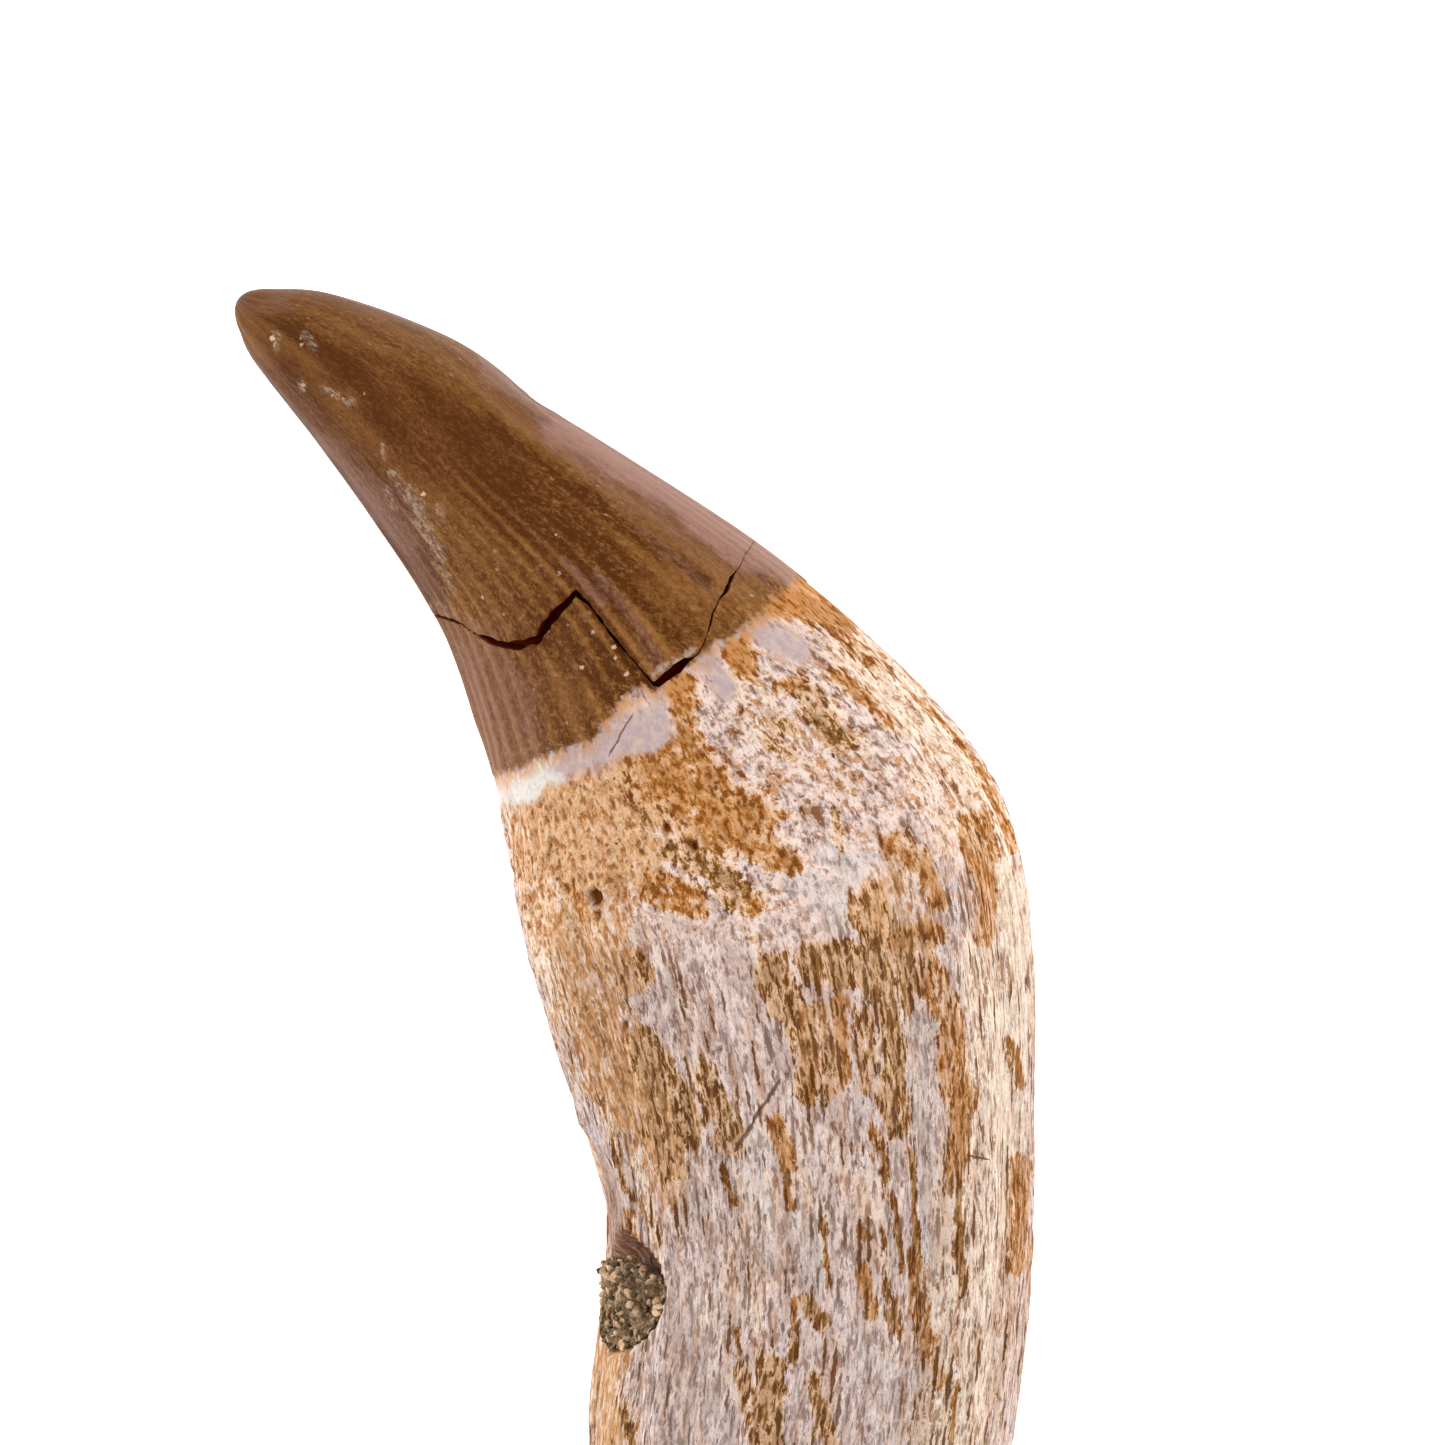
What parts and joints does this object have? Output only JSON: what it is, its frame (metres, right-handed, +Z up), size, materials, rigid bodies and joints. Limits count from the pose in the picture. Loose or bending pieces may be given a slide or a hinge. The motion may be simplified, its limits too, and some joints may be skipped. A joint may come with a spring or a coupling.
{
  "type": "fossil tooth",
  "caption": "Curved pointed fossil tooth of a marine reptile: fluted brown enamel crown with a crack across it, on a long fibrous porous root with a pit in its flank.",
  "frame": {"origin": "under the middle of the bounding box, on the plane that the tooth lies on", "axes": "+Y along the root towards the crown, +Z up out of the flank that faces the viewer, the crown bends to -X"},
  "size_m": [0.0401, 0.0743, 0.0184],
  "materials": {
    "fossil_tooth": "semi-gloss brown enamel crown on a matt, porous, stained bone root",
    "sediment": "matt, granular"
  },
  "bodies": {
    "root": {"tooth": "fossil_tooth", "sediment_in_pit": "sediment"}
  },
  "joints": []
}
